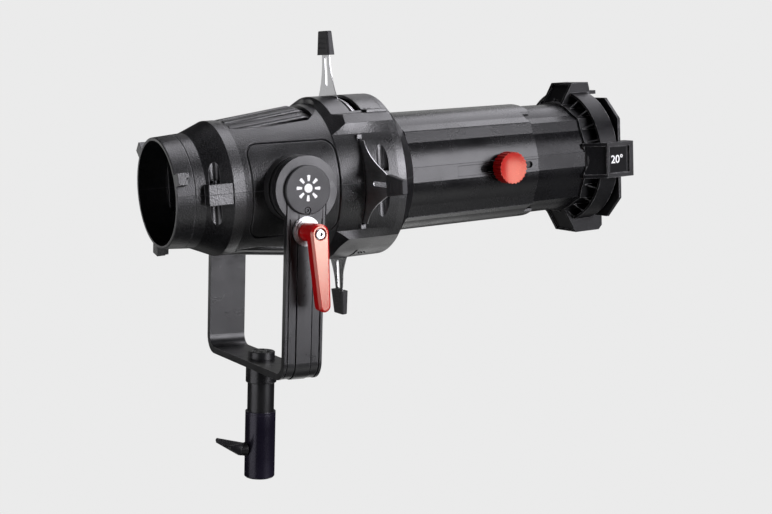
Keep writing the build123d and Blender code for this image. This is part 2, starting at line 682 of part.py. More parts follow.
with BuildPart() as colour_frame:
    with BuildSketch(Plane.YZ.offset(FRAME_X)):
        with Locations((0, -FRAME_DROP)):
            Rectangle(2 * FRAME_HALF, 2 * FRAME_HALF)
            chamfer(vertices(), FRAME_CORNER)
            Circle(66, mode=Mode.SUBTRACT)
    extrude(amount=FRAME_T)
    # the slot between the frame's two leaves, round its edge
    with BuildSketch(Plane.YZ.offset(FRAME_X + 1.4)):
        with Locations((0, -FRAME_DROP)):
            Rectangle(2 * FRAME_HALF + 2, 2 * FRAME_HALF + 2)
            Rectangle(2 * FRAME_HALF - 6, 2 * FRAME_HALF - 6, mode=Mode.SUBTRACT)
    extrude(amount=1.2, mode=Mode.SUBTRACT)

# ---------------------------------------------------------------- trunnions
with BuildPart() as near_trunnion_disc:
    with BuildSketch(Plane.XZ.offset(80)):
        Circle(DISC_R)
    extrude(amount=DISC_FACE_Y - 80)
    with BuildSketch(Plane.XZ.offset(94)):
        Circle(DISC_R + 1)
        Circle(DISC_R - 6, mode=Mode.SUBTRACT)
    extrude(amount=5.4, mode=Mode.SUBTRACT)
    with BuildSketch(Plane.XZ.offset(80)):
        Circle(BOLT_R)
    extrude(amount=DISC_FACE_Y - 79, mode=Mode.SUBTRACT)
    add(turned([(-75, 0), (-75, 80), (-60, 80), (63, 96), (63, 0)]), mode=Mode.SUBTRACT)

with BuildPart() as far_trunnion_disc:
    add(near_trunnion_disc.part.mirror(Plane.XZ))

with BuildPart() as friction_washers:
    for side in (-1, 1):
        with BuildSketch(Plane.XZ.offset(side * DISC_FACE_Y)):
            Circle(24)
            Circle(BOLT_R + 0.2, mode=Mode.SUBTRACT)
        extrude(amount=side * 1.5)

with BuildPart() as trunnion_bolts:
    for side in (-1, 1):
        with BuildSketch(Plane.XZ.offset(side * 86)):
            Circle(BOLT_R)
        extrude(amount=side * (ARM_FACE_Y + 0.4 - 86))
        with BuildSketch(Plane.XZ.offset(side * (ARM_FACE_Y + 0.3))):
            Circle(9)
            RegularPolygon(3.2, 6, mode=Mode.SUBTRACT)
        extrude(amount=side * 1.8)

# bolt clearance through the shells
for shell in (upper_shell, lower_shell):
    with shell:
        for side in (-1, 1):
            with BuildSketch(Plane.XZ.offset(side * 84)):
                Circle(BOLT_R + 0.1)
            extrude(amount=side * 20, mode=Mode.SUBTRACT)


# ---------------------------------------------------------------- yoke and stem
def yoke_strip(start, width, thickness):
    """One lengthwise strip of the yoke's strap, bent into a U."""
    outer_y = ARM_INNER_Y + thickness
    outer_z = CROSSBAR_TOP - thickness
    with BuildPart() as made:
        with BuildSketch(Plane.YZ.offset(start)):
            with BuildLine():
                inner = FilletPolyline((-ARM_INNER_Y, 0), (-ARM_INNER_Y, CROSSBAR_TOP),
                                       (ARM_INNER_Y, CROSSBAR_TOP), (ARM_INNER_Y, 0), radius=14)
                FilletPolyline((-outer_y, 0), (-outer_y, outer_z), (outer_y, outer_z), (outer_y, 0),
                               radius=14 + thickness)
                Line((-outer_y, 0), (-ARM_INNER_Y, 0))
                Line((outer_y, 0), (ARM_INNER_Y, 0))
            make_face()
        extrude(amount=width)
    return made.part


with BuildPart() as yoke:
    # edge beads, flats and a proud middle, with grooves between them
    for start, width, proud in ((-ARM_HALF, 3, 0.5), (-21, 1.5, -1.4), (-19.5, 9, 0), (-10.5, 1.3, -1.4),
                                (-9.2, 18.4, STRIP_PROUD), (9.2, 1.3, -1.4), (10.5, 9, 0),
                                (19.5, 1.5, -1.4), (ARM_HALF - 3, 3, 0.5)):
        add(yoke_strip(start, width, ARM_T + proud))
    for side in (-1, 1):
        with BuildSketch(Plane.XZ.offset(side * ARM_INNER_Y)):
            Circle(DISC_R)
        extrude(amount=side * ARM_T)
        # the arm stands off its round head by a narrow groove on each side
        with BuildSketch(Plane.XZ.offset(side * (ARM_FACE_Y - 2))):
            for edge in (-1, 1):
                with Locations((edge * (ARM_HALF + 0.7), -10)):
                    Rectangle(1.4, 32, align=(Align.CENTER, Align.MAX))
        extrude(amount=side * 4, mode=Mode.SUBTRACT)
        with BuildSketch(Plane.XZ.offset(side * ARM_FACE_Y)):
            Circle(CAP_R + 0.3)
        extrude(amount=side * 4, mode=Mode.SUBTRACT)
        with BuildSketch(Plane.XZ.offset(side * (ARM_INNER_Y - 1))):
            Circle(BUSH_R)
            with Locations((0, CLAMP_Z)):
                Circle(4.35)
        extrude(amount=side * 12, mode=Mode.SUBTRACT)
    with Locations((0, 0, CROSSBAR_TOP)):
        Cylinder(8, 30, mode=Mode.SUBTRACT)

with BuildPart() as trunnion_bushes:
    for side in (-1, 1):
        with BuildSketch(Plane.XZ.offset(side * ARM_INNER_Y)):
            Circle(BUSH_R)
            Circle(BOLT_R + 0.05, mode=Mode.SUBTRACT)
        extrude(amount=side * ARM_T)


def arm_cap(side):
    """The round cap over a trunnion bolt, hollow behind, on the outside of a yoke arm."""
    with BuildPart() as made:
        with BuildSketch(Plane.XZ.offset(side * ARM_FACE_Y)):
            Circle(CAP_R)
        extrude(amount=side * CAP_T)
        chamfer(made.edges().filter_by(GeomType.CIRCLE).sort_by(Axis.Y)[-1 if side < 0 else 0], 1)
        with BuildSketch(Plane.XZ.offset(side * ARM_FACE_Y)):
            Circle(18.6)
            with Locations((0, CAP_SCREW_Z)):
                Circle(3.2)
        extrude(amount=side * (CAP_T - 1.6), mode=Mode.SUBTRACT)
        with BuildSketch(Plane.XZ.offset(side * (ARM_FACE_Y + CAP_T - 2))):
            with Locations((0, CAP_SCREW_Z)):
                Circle(4.2)
        extrude(amount=side * 4, mode=Mode.SUBTRACT)
    return made.part


with BuildPart() as near_arm_cap:
    add(arm_cap(1))
with BuildPart() as far_arm_cap:
    add(arm_cap(-1))

with BuildPart() as cap_screws:
    for side in (-1, 1):
        with BuildSketch(Plane.XZ.offset(side * ARM_FACE_Y)):
            with Locations((0, CAP_SCREW_Z)):
                Circle(3.1)
        extrude(amount=side * (CAP_T - 0.5))
        with BuildSketch(Plane.XZ.offset(side * (ARM_FACE_Y + CAP_T - 2.2))):
            with Locations((0, CAP_SCREW_Z)):
                RegularPolygon(1.7, 6)
        extrude(amount=side * 4, mode=Mode.SUBTRACT)

with BuildPart() as stem_bolt:
    with BuildSketch(Plane.XY.offset(CROSSBAR_TOP)):
        Circle(16.3)
    extrude(amount=9.4)
    chamfer(stem_bolt.faces().sort_by(Axis.Z)[-1].edges(), 0.8)
    with BuildSketch(Plane.XY.offset(CROSSBAR_TOP + 7.6)):
        with PolarLocations(9.2, 6):
            Rectangle(6.4, 4.6)
    extrude(amount=4, mode=Mode.SUBTRACT)
    with Locations((0, 0, CROSSBAR_TOP)):
        Cylinder(7.95, 40, align=(Align.CENTER, Align.CENTER, Align.MAX))

underside = CROSSBAR_TOP - ARM_T - STRIP_PROUD
with BuildPart() as stem_collar:
    with BuildSketch(Plane.XY.offset(SPIGOT_TOP_Z)):
        Circle(STEM_R + 0.2)
        Circle(8, mode=Mode.SUBTRACT)
    extrude(amount=underside - SPIGOT_TOP_Z)
    chamfer(stem_collar.faces().sort_by(Axis.Z)[0].outer_wire().edges(), 0.8)

with BuildPart() as stem_spigot:
    with BuildSketch(Plane.XY.offset(RECEIVER_TOP_Z)):
        Circle(SPIGOT_R)
    extrude(amount=SPIGOT_TOP_Z - RECEIVER_TOP_Z)
    with Locations((0, 0, SPIGOT_TOP_Z)):
        Cylinder(8, 11.2, align=(Align.CENTER, Align.CENTER, Align.MAX), mode=Mode.SUBTRACT)

with BuildPart() as stem_receiver:
    with BuildSketch(Plane.XY.offset(-AXIS_HEIGHT)):
        Circle(STEM_R)
    extrude(amount=AXIS_HEIGHT + RECEIVER_TOP_Z)
    chamfer(stem_receiver.faces().sort_by(Axis.Z)[0].edges(), 1.6)
    with BuildSketch(Plane.XY.offset(-AXIS_HEIGHT)):
        Circle(SOCKET_R)
    extrude(amount=SOCKET_DEPTH, mode=Mode.SUBTRACT)
    with Locations(Location((-14, 0, WING_Z), (0, 90, 0))):
        Cylinder(4.05, 20, mode=Mode.SUBTRACT)

with BuildPart() as stem_ring:
    with BuildSketch(Plane.XY.offset(RECEIVER_TOP_Z)):
        Circle(STEM_R)
        Circle(SPIGOT_R, mode=Mode.SUBTRACT)
    extrude(amount=3)

with BuildPart() as wing_screw:
    with Locations(Location((-9.5, 0, WING_Z), (0, -90, 0))):
        Cylinder(4, 12, align=(Align.CENTER, Align.CENTER, Align.MIN))
    with Locations(Location((-19.2, 0, WING_Z), (0, -90, 0))):
        Cone(8.6, 6.4, 10, align=(Align.CENTER, Align.CENTER, Align.MIN))
    for side in (-1, 1):
        wing_plane = Plane((-22, 0, WING_Z), x_dir=(-0.79, side * 0.61, 0), z_dir=(side * 0.61, 0.79, 0))
        with BuildSketch(wing_plane):
            up = 1 if wing_plane.y_dir.Z > 0 else -1
            Polygon((-2, up * -8), (-2, up * 7.5), (34, up * 11.6), (35, up * 10), (34, up * 6.4),
                    (10, up * -5.5), align=None)
        extrude(amount=1.6, both=True)

# ---------------------------------------------------------------- tilt clamp
with BuildPart() as clamp_block:
    with BuildSketch(Plane.YZ.offset(-12)):
        with BuildLine():
            Polyline((-ARM_INNER_Y, -40.5), (-99.9, -40.5), (-98.9, -40.5), (-98.9, -34.6), (-94.6, -34.6),
                     (-94.6, -41), (-93.4, -42), (-93.4, -55), (-95, -56.5), (-ARM_INNER_Y, -56.5),
                     close=True)
        make_face()
    extrude(amount=24)
    with BuildSketch(Plane.XZ.offset(90)):
        with Locations((0, CLAMP_Z)):
            Circle(4.05)
    extrude(amount=20, mode=Mode.SUBTRACT)

with BuildPart() as clamp_washers:
    for index, radius in enumerate((17, 16.2, 14.2)):
        with BuildSketch(Plane.XZ.offset(ARM_FACE_Y + STRIP_PROUD + index * WASHER_T)):
            with Locations((0, CLAMP_Z)):
                Circle(radius)
                Circle(4.35, mode=Mode.SUBTRACT)
        extrude(amount=WASHER_T - 0.25)
        with BuildSketch(Plane.XZ.offset(ARM_FACE_Y + STRIP_PROUD + index * WASHER_T)):
            with Locations((0, CLAMP_Z)):
                Circle(radius - 0.8)
                Circle(4.35, mode=Mode.SUBTRACT)
        extrude(amount=WASHER_T)

with BuildPart() as clamp_stud:
    with BuildSketch(Plane.XZ.offset(95)):
        with Locations((0, CLAMP_Z)):
            Circle(4)
    extrude(amount=28)
    with BuildSketch(Plane.XZ.offset(LEVER_HUB_Y + 0.1)):
        with Locations((0, CLAMP_Z)):
            Circle(7)
    extrude(amount=STUD_SHOULDER_Y - LEVER_HUB_Y - 0.1)
    with BuildSketch(Plane.XZ.offset(STUD_SHOULDER_Y)):
        with Locations((0, CLAMP_Z)):
            Circle(SCREW_PIN_R)
    extrude(amount=16)

with BuildPart() as lever_screw:
    with BuildSketch(Plane.XZ.offset(147.6)):
        with Locations((0, CLAMP_Z)):
            Circle(5.8)
            Circle(SCREW_PIN_R, mode=Mode.SUBTRACT)
    extrude(amount=1.4)
    with BuildSketch(Plane.XZ.offset(149)):
        with Locations((0, CLAMP_Z)):
            Circle(5.4)
            RegularPolygon(2.6, 6, mode=Mode.SUBTRACT)
    extrude(amount=2.6)
    chamfer(lever_screw.faces().sort_by(Axis.Y)[0].outer_wire().edges(), 0.5)

with BuildPart() as lever_spring:
    with BuildSketch(Plane.XZ.offset(LEVER_ARM_Y + 0.2)):
        with Locations((0, CLAMP_Z)):
            Circle(5.6)
            Circle(4.0, mode=Mode.SUBTRACT)
    extrude(amount=9.2)

with BuildPart() as clamp_lever:
    with BuildSketch(Plane.XZ.offset(LEVER_HUB_Y)):
        with Locations((0, CLAMP_Z)):
            Circle(LEVER_ROOT_R - 0.2)
    extrude(amount=LEVER_ARM_Y + 2 - LEVER_HUB_Y)
    lean = math.radians(LEVER_LEAN)
    side_x = math.cos(lean)
    side_z = math.sin(lean)
    tip = (LEVER_LENGTH * side_z, CLAMP_Z - LEVER_LENGTH * side_x)
    with BuildSketch(Plane.XZ.offset(LEVER_ARM_Y)):
        with Locations((0, CLAMP_Z)):
            Circle(LEVER_ROOT_R)
        with Locations(tip):
            Circle(LEVER_TIP_R)
        Polygon((LEVER_ROOT_R * side_x, CLAMP_Z + LEVER_ROOT_R * side_z),
                (-LEVER_ROOT_R * side_x, CLAMP_Z - LEVER_ROOT_R * side_z),
                (tip[0] - LEVER_TIP_R * side_x, tip[1] - LEVER_TIP_R * side_z),
                (tip[0] + LEVER_TIP_R * side_x, tip[1] + LEVER_TIP_R * side_z), align=None)
    extrude(amount=LEVER_ARM_T)
    chamfer(clamp_lever.faces().sort_by(Axis.Y)[0].edges(), 2.4)
    # stepped bore: stud, screw, spring, and the sunk seat of the screw head
    for start, radius, depth in ((LEVER_HUB_Y - 1, 7.06, STUD_SHOULDER_Y + 1.4 - LEVER_HUB_Y),
                                 (STUD_SHOULDER_Y - 3, SCREW_PIN_R + 0.1, 30), (LEVER_ARM_Y, 6.6, 15),
                                 (LEVER_ARM_Y + LEVER_ARM_T - 0.8, 7.2, 2)):
        with BuildSketch(Plane.XZ.offset(start)):
            with Locations((0, CLAMP_Z)):
                Circle(radius)
        extrude(amount=depth, mode=Mode.SUBTRACT)

# ---------------------------------------------------------------- write every piece
housing_parts = {
    "upper_shell": upper_shell, "lower_shell": lower_shell, "shell_screws": shell_screws,
    "slot_cover": slot_cover, "cover_screws": cover_screws,
    "condenser_cell": condenser_cell, "condenser_rear_lens": condenser_rear_lens,
    "condenser_front_lens": condenser_front_lens, "condenser_retainers": condenser_retainers,
    "gate_rear_plate": gate_rear_plate, "shutter_separators": shutter_separators,
    "gate_front_plate": gate_front_plate, "pattern_slot_plate": pattern_slot_plate,
    "gate_spacers": gate_spacers, "gate_screws": gate_screws,
    "barrel_sleeve": barrel_sleeve, "nose_tube": nose_tube,
    "objective_rear_lens": objective_rear_lens, "objective_front_lens": objective_front_lens,
    "objective_rings": objective_rings, "focus_nut": focus_nut, "focus_stud": focus_stud,
    "focus_knob": focus_knob, "front_holder": front_holder, "holder_screws": holder_screws,
    "angle_plate": angle_plate, "frame_latch": frame_latch, "latch_pin": latch_pin,
    "colour_frame": colour_frame, "near_trunnion_disc": near_trunnion_disc,
    "far_trunnion_disc": far_trunnion_disc, "friction_washers": friction_washers,
    "trunnion_bolts": trunnion_bolts,
}
housing_parts.update(shutter_parts)
yoke_parts = {
    "yoke": yoke, "trunnion_bushes": trunnion_bushes, "near_arm_cap": near_arm_cap,
    "far_arm_cap": far_arm_cap, "cap_screws": cap_screws, "stem_bolt": stem_bolt,
    "stem_collar": stem_collar, "stem_spigot": stem_spigot, "stem_receiver": stem_receiver,
    "stem_ring": stem_ring, "wing_screw": wing_screw, "clamp_block": clamp_block,
    "clamp_washers": clamp_washers, "clamp_stud": clamp_stud, "lever_screw": lever_screw,
    "lever_spring": lever_spring, "clamp_lever": clamp_lever,
}
os.makedirs("parts", exist_ok=True)
for pieces, tip_up in ((housing_parts, REST_TILT), (yoke_parts, 0)):
    for name, builder in pieces.items():
        piece = Location((0, 0, AXIS_HEIGHT), (0, -tip_up, 0)) * builder.part
        piece.label = name
        export_step(piece, f"parts/{name}.step")
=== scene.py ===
import json
import math

import bmesh
import bpy
from mathutils import Matrix, Vector


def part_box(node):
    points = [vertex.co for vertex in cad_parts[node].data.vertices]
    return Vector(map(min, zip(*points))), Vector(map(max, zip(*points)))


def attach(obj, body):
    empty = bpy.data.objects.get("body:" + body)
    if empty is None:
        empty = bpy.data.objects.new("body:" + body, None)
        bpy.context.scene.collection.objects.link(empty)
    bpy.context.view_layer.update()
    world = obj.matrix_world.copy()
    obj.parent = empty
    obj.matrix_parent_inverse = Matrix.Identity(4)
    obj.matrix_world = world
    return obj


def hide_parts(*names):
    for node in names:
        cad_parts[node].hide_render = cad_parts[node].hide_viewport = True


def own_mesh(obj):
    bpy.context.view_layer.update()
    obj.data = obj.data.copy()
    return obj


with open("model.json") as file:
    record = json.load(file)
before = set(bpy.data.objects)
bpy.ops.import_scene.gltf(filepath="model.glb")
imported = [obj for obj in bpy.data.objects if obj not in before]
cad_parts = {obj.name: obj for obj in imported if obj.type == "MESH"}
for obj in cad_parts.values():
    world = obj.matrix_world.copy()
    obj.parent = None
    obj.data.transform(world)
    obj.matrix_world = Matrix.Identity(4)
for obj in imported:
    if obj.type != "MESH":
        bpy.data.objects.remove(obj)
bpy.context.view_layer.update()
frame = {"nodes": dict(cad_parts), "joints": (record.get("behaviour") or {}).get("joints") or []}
NODES = frame["nodes"]
JOINTS = {joint["name"]: joint for joint in frame["joints"]}
TILT_CENTRE = Vector(JOINTS["housing_tilt"]["pos_m"])
LIGHT_WAY = Vector(JOINTS["focus_slide"]["axis"])
MM = 0.001


# ------------------------------------------------------------------ camera
CAMERA_AZIMUTH = math.radians(-29.83)
CAMERA_ELEVATION = math.radians(6.24)
CAMERA_ROLL = math.radians(1.62)
CAMERA_DISTANCE = 1.7743
CAMERA_AIM = TILT_CENTRE + Vector((0.17155, 0, -0.09444))
CAMERA_LENS_MM = 64.87
CAMERA_SENSOR_MM = 36


def make_camera():
    """The photograph's view: a long lens, a little above the barrel, from behind and to the near side."""
    level = math.cos(CAMERA_ELEVATION)
    back = Vector((math.sin(CAMERA_AZIMUTH) * level, -math.cos(CAMERA_AZIMUTH) * level,
                   math.sin(CAMERA_ELEVATION)))
    right = Vector((math.cos(CAMERA_AZIMUTH), math.sin(CAMERA_AZIMUTH), 0))
    up = back.cross(right)
    rolled_right = right * math.cos(CAMERA_ROLL) + up * math.sin(CAMERA_ROLL)
    rolled_up = up * math.cos(CAMERA_ROLL) - right * math.sin(CAMERA_ROLL)
    data = bpy.data.cameras.new("camera")
    data.lens = CAMERA_LENS_MM
    data.sensor_width = CAMERA_SENSOR_MM
    camera = bpy.data.objects.new("camera", data)
    bpy.context.collection.objects.link(camera)
    turn = Matrix((rolled_right, rolled_up, back)).transposed().to_4x4()
    camera.matrix_world = Matrix.Translation(CAMERA_AIM + back * CAMERA_DISTANCE) @ turn
    bpy.context.scene.camera = camera


# ------------------------------------------------------------------ studio
PALE = 0.83
FLOOR_Z = -0.6
FLOOR_REACH = 40
COOL = (1.0, 0.985, 1.05)
WHITE = (1, 1, 1)

# The room's brightness as a product of two ramps. Each stop is a coordinate of the direction and a grey.
ROOM_BY_HEIGHT = ((-0.95, 0.02), (-0.86, 0.06), (-0.78, 0.7), (-0.66, 1.9), (-0.56, 1.9), (-0.49, 0.15),
                  (-0.40, 0.01), (-0.16, 0.01), (-0.05, 0.10), (0.30, 0.14), (0.60, 0.12), (1.0, 0.05))
ROOM_BY_SIDE = ((-1.0, 0.5), (-0.5, 0.3), (0.1, 0.1), (0.32, 0.15), (0.43, 1.0), (0.53, 0.9), (0.62, 0.15),
                (1.0, 0.05))

# Name, direction from the housing, distance, width and height, radiance, colour.
SOFT_BOXES = (
    ("front_box", (0.52, -0.83, 0.175), 2.2, (1.3, 1.55), 8.5, COOL),
    ("top_box", (0.50, 0.12, 0.84), 1.9, (1.6, 2.1), 3.0, COOL),
    ("back_box", (-0.45, 0.88, 0.02), 2.4, (1.6, 1.1), 0.75, WHITE),
    ("far_box", (0.48, 0.76, 0.43), 2.4, (1.2, 0.9), 0.6, WHITE),
    ("left_box", (-0.975, -0.13, -0.10), 2.4, (2.3, 1.5), 1.9, COOL),
)


def soft_box(name, way, distance, size, radiance, colour):
    """A rectangular soft light that shines on the housing from a direction, equally bright at any size."""
    data = bpy.data.lights.new(name, "AREA")
    data.shape = "RECTANGLE"
    data.size, data.size_y = size
    data.energy = radiance * math.pi * size[0] * size[1]
    data.color = colour
    lamp = bpy.data.objects.new(name, data)
    bpy.context.collection.objects.link(lamp)
    way = Vector(way).normalized()
    lamp.location = TILT_CENTRE + way * distance
    lamp.rotation_euler = (-way).to_track_quat("-Z", "Y").to_euler()


def room_ramp(tree, value, stops):
    """Grey levels along one coordinate of the direction, which runs from -1 to 1."""
    place = tree.nodes.new("ShaderNodeMapRange")
    place.inputs["From Min"].default_value = -1
    place.inputs["From Max"].default_value = 1
    tree.links.new(value, place.inputs["Value"])
    ramp = tree.nodes.new("ShaderNodeValToRGB")
    ends = ramp.color_ramp.elements
    while len(ends) > 1:
        ends.remove(ends[0])
    for index, (coordinate, level) in enumerate(stops):
        position = (coordinate + 1) / 2
        stop = ends[0] if index == 0 else ends.new(position)
        stop.position = position
        stop.color = (level, level, level, 1)
    tree.links.new(place.outputs["Result"], ramp.inputs["Fac"])
    return ramp.outputs["Color"]


def make_world():
    """A pale backdrop for the camera. The object itself sees a dimmer room with a bright band low down."""
    world = bpy.data.worlds.new("studio")
    bpy.context.scene.world = world
    world.use_nodes = True
    tree = world.node_tree
    tree.nodes.clear()
    way = tree.nodes.new("ShaderNodeTexCoord")
    split = tree.nodes.new("ShaderNodeSeparateXYZ")
    tree.links.new(way.outputs["Generated"], split.inputs[0])
    both = tree.nodes.new("ShaderNodeMix")
    both.data_type = "RGBA"
    both.blend_type = "MULTIPLY"
    both.inputs[0].default_value = 1
    tree.links.new(room_ramp(tree, split.outputs["Z"], ROOM_BY_HEIGHT), both.inputs[6])
    tree.links.new(room_ramp(tree, split.outputs["X"], ROOM_BY_SIDE), both.inputs[7])
    room = tree.nodes.new("ShaderNodeBackground")
    tree.links.new(both.outputs[2], room.inputs["Color"])
    backdrop = tree.nodes.new("ShaderNodeBackground")
    backdrop.inputs["Color"].default_value = (PALE, PALE, PALE, 1)
    ray = tree.nodes.new("ShaderNodeLightPath")
    choose = tree.nodes.new("ShaderNodeMixShader")
    tree.links.new(ray.outputs["Is Camera Ray"], choose.inputs[0])
    tree.links.new(room.outputs[0], choose.inputs[1])
    tree.links.new(backdrop.outputs[0], choose.inputs[2])
    out = tree.nodes.new("ShaderNodeOutputWorld")
    tree.links.new(choose.outputs[0], out.inputs["Surface"])


def floor_material():
    """The backdrop's own grey, so that the floor and the backdrop meet without a line."""
    material = bpy.data.materials.new("pale_floor")
    material.use_nodes = True
    nodes = material.node_tree.nodes
    nodes.clear()
    glow = nodes.new("ShaderNodeEmission")
    glow.inputs["Color"].default_value = (PALE, PALE, PALE, 1)
    out = nodes.new("ShaderNodeOutputMaterial")
    material.node_tree.links.new(glow.outputs[0], out.inputs["Surface"])
    return material


def make_floor():
    """A wide pale floor, well below the stand socket, that only the camera sees."""
    mesh = bpy.data.meshes.new("floor")
    corners = [(FLOOR_REACH * x, FLOOR_REACH * y, FLOOR_Z) for x, y in ((-1, -1), (1, -1), (1, 1), (-1, 1))]
    mesh.from_pydata(corners, [], [(0, 1, 2, 3)])
    mesh.materials.append(floor_material())
    floor = bpy.data.objects.new("floor", mesh)
    bpy.context.collection.objects.link(floor)
    floor.visible_diffuse = False
    floor.visible_glossy = False
    floor.visible_transmission = False
    floor.visible_shadow = False


def make_studio():
    make_world()
    make_floor()
    for box in SOFT_BOXES:
        soft_box(*box)
    bpy.context.scene.view_settings.view_transform = "Standard"


# ------------------------------------------------------------------ material recipes
# The range that a noise mostly fills.
NOISE_LOW, NOISE_HIGH = 0.3, 0.7
# How far the rounded normal agrees with the flat one: clear of an edge, and on it.
CLEAR_OF_EDGE, ON_EDGE = 0.995, 0.86

# Coatings: how big the patches of edge colour are (rubbed paint on most parts, a painted highlight on the
# red controls), where the grain's flecks begin and are full, how much the grain changes the roughness, and
# how deep it is as a share of its size.
PATCH_SIZE = 9 * MM
FLECK_BEGINS, FLECK_FULL = 0.48, 0.66
GRAIN_DULLNESS = 0.06
GRAIN_DEPTH = 0.25

# Bare metal: the scratches' frequency along and across their way, per metre, and the stains' size.
SCRATCH_ALONG = 40
SCRATCH_ACROSS = 2600
SCRATCH_DEPTH = 0.03 * MM
METAL_EDGE = 0.25 * MM
STAIN_SIZE = 26 * MM

# Glass: the size of the dusty patches.
DUST_SIZE = 4 * MM


class Recipe:
    """A material's node tree, with short calls that add a node and wire it."""

    def __init__(self, name):
        self.material = bpy.data.materials.new(name)
        self.material.use_nodes = True
        self.tree = self.material.node_tree
        self.tree.nodes.clear()
        self.place = self.add("ShaderNodeTexCoord").outputs["Object"]

    def add(self, kind, inputs=None, **settings):
        """A node with its settings. Each input is a value to set or a socket to link."""
        made = self.tree.nodes.new(kind)
        for key, value in settings.items():
            setattr(made, key, value)
        for key, value in (inputs or {}).items():
            if isinstance(value, bpy.types.NodeSocket):
                self.tree.links.new(value, made.inputs[key])
            else:
                made.inputs[key].default_value = value
        return made

    def noise(self, scale, detail, place=None):
        inputs = {"Vector": place or self.place, "Scale": scale, "Detail": detail}
        return self.add("ShaderNodeTexNoise", inputs).outputs["Fac"]

    def drawn_out(self, scale):
        """The place in the piece, with each coordinate scaled on its own."""
        return self.add("ShaderNodeMapping", {"Vector": self.place, "Scale": scale}).outputs["Vector"]

    def span(self, value, low, high, to_low=0.0, to_high=1.0):
        made = self.add("ShaderNodeMapRange", {"Value": value, "From Min": low, "From Max": high,
                                               "To Min": to_low, "To Max": to_high})
        return made.outputs["Result"]

    def stretch(self, noise, to_low=0.0, to_high=1.0):
        """The range that a noise mostly fills, moved to another one."""
        return self.span(noise, NOISE_LOW, NOISE_HIGH, to_low, to_high)

    def maths(self, operation, first, second):
        return self.add("ShaderNodeMath", {0: first, 1: second}, operation=operation).outputs[0]

    def blend(self, factor, first, second):
        """A colour mix by a factor socket; each colour is an RGB triple or a colour socket."""
        made = self.add("ShaderNodeMix", {0: factor}, data_type="RGBA")
        for index, value in ((6, first), (7, second)):
            if isinstance(value, bpy.types.NodeSocket):
                self.tree.links.new(value, made.inputs[index])
            else:
                made.inputs[index].default_value = (*value, 1)
        return made.outputs[2]

    def rounded(self, radius):
        """A normal that rounds the sharp edges, and how close each point is to one."""
        bevel = self.add("ShaderNodeBevel", {"Radius": radius}, samples=6)
        plain = self.add("ShaderNodeNewGeometry").outputs["Normal"]
        agree = self.add("ShaderNodeVectorMath", {0: bevel.outputs["Normal"], 1: plain},
                         operation="DOT_PRODUCT")
        return bevel.outputs["Normal"], self.span(agree.outputs["Value"], CLEAR_OF_EDGE, ON_EDGE)

    def bump(self, height, strength, distance, normal=None):
        inputs = {"Height": height, "Strength": strength, "Distance": distance}
        if normal:
            inputs["Normal"] = normal
        return self.add("ShaderNodeBump", inputs).outputs[0]

    def finish(self, inputs):
        shader = self.add("ShaderNodeBsdfPrincipled", inputs)
        self.add("ShaderNodeOutputMaterial", {"Surface": shader.outputs[0]})
        return self.material


def grey(level, blue=0.0):
    """A neutral colour, with a little more blue if wanted."""
    return (level, level, level + blue)


def scaled(colour, factor):
    return tuple(channel * factor for channel in colour)


def coating(name, colour, roughness, grain=0.5, grain_size=0.8 * MM, mottle=0.18, mottle_size=45 * MM,
            edge_wear_and_highlight=grey(0.16, 0.005), edge_wear_and_highlight_strength=0.45, edge=0.7 * MM, metallic=0.0, spread=0.07, fleck=None,
            specular=0.5, ior=1.5, tint=WHITE):
    """Painted, moulded or anodised surface: uneven tone, fine grain, and rounded edges that are slightly
    rubbed on most parts and carry a painted highlight on the red controls.

    grain, mottle, edge_wear_and_highlight_strength and spread say how strong the fine grain, the broad
    change of tone, the edge colour and the change of roughness are. fleck and edge_wear_and_highlight are
    the colours of the grain and of an edge, which is rubbed paint on most parts and a painted highlight on
    the red controls; edge is the radius of its rounding. specular, ior and tint set the reflection.
    """
    made = Recipe(name)
    broad = made.noise(1 / mottle_size, 4)
    fine = made.noise(1 / grain_size, 1)
    smooth_normal, edges = made.rounded(edge)
    tone = made.blend(made.stretch(broad), scaled(colour, 1 - mottle), scaled(colour, 1 + mottle))
    flecks = made.span(fine, FLECK_BEGINS, FLECK_FULL, 0, grain)
    tone = made.blend(flecks, tone, fleck or scaled(colour, 2.5))
    patches = made.span(made.noise(1 / PATCH_SIZE, 4), 0.35, 0.65, 0.1, edge_wear_and_highlight_strength)
    # Rounded edges, in patches, take the edge colour: rubbed paint on most parts, a painted highlight on
    # the red controls.
    tone = made.blend(made.maths("MULTIPLY", edges, patches), tone, edge_wear_and_highlight)
    dull = made.maths("ADD", made.stretch(broad, roughness - spread, roughness + spread),
                      made.stretch(fine, -GRAIN_DULLNESS * grain, GRAIN_DULLNESS * grain))
    return made.finish({"Base Color": tone, "Roughness": dull, "Metallic": metallic, "IOR": ior,
                        "Normal": made.bump(fine, grain, GRAIN_DEPTH * grain_size, smooth_normal),
                        "Specular IOR Level": specular, "Specular Tint": (*tint, 1)})


def brushed(name, colour, roughness, along, dark=0.72):
    """Bare metal with fine scratches along one direction and faint stains."""
    made = Recipe(name)
    scale = [SCRATCH_ALONG if part else SCRATCH_ACROSS for part in along]
    scratches = made.noise(1, 4, made.drawn_out(scale))
    stains = made.noise(1 / STAIN_SIZE, 4)
    smooth_normal, edges = made.rounded(METAL_EDGE)
    tone = made.blend(made.stretch(scratches), scaled(colour, dark), colour)
    tone = made.blend(made.span(stains, 0.55, 0.75, 0, 0.3), tone, scaled(colour, 0.6))
    tone = made.blend(made.maths("MULTIPLY", edges, 0.7), tone, grey(0.92))
    dull = made.maths("ADD", made.stretch(scratches, roughness - 0.05, roughness + 0.05),
                      made.span(stains, 0.5, 0.75, 0, 0.08))
    return made.finish({"Base Color": tone, "Roughness": dull, "Metallic": 1.0,
                        "Normal": made.bump(scratches, 0.25, SCRATCH_DEPTH, smooth_normal)})


